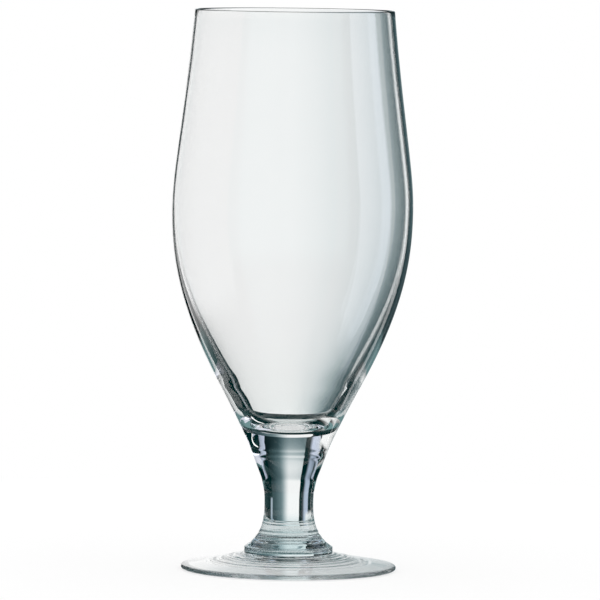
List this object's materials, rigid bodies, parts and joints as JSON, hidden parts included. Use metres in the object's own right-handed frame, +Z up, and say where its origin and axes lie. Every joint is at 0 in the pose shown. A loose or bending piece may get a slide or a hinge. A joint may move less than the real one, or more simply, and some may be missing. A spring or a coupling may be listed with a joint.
{
  "type": "tulip beer glass",
  "caption": "Clear tulip beer glass: a tall belly that tapers in to the rim, a short thick waisted stem and a thin round foot, for serving beer.",
  "frame": {"origin": "centre of the foot's resting ring, on the surface the glass stands on", "axes": "+Z up along the axis of the glass, from the foot to the rim; X and Y are any two square directions across it"},
  "size_m": [0.075, 0.075, 0.1744],
  "materials": {
    "bowl_glass": "clear, fire-polished",
    "stem_glass": "clear, solid, fire-polished",
    "foot_glass": "clear, pressed, worn at the resting ring"
  },
  "bodies": {
    "root": {"bowl": "bowl_glass", "stem": "stem_glass", "foot": "foot_glass"}
  },
  "joints": []
}
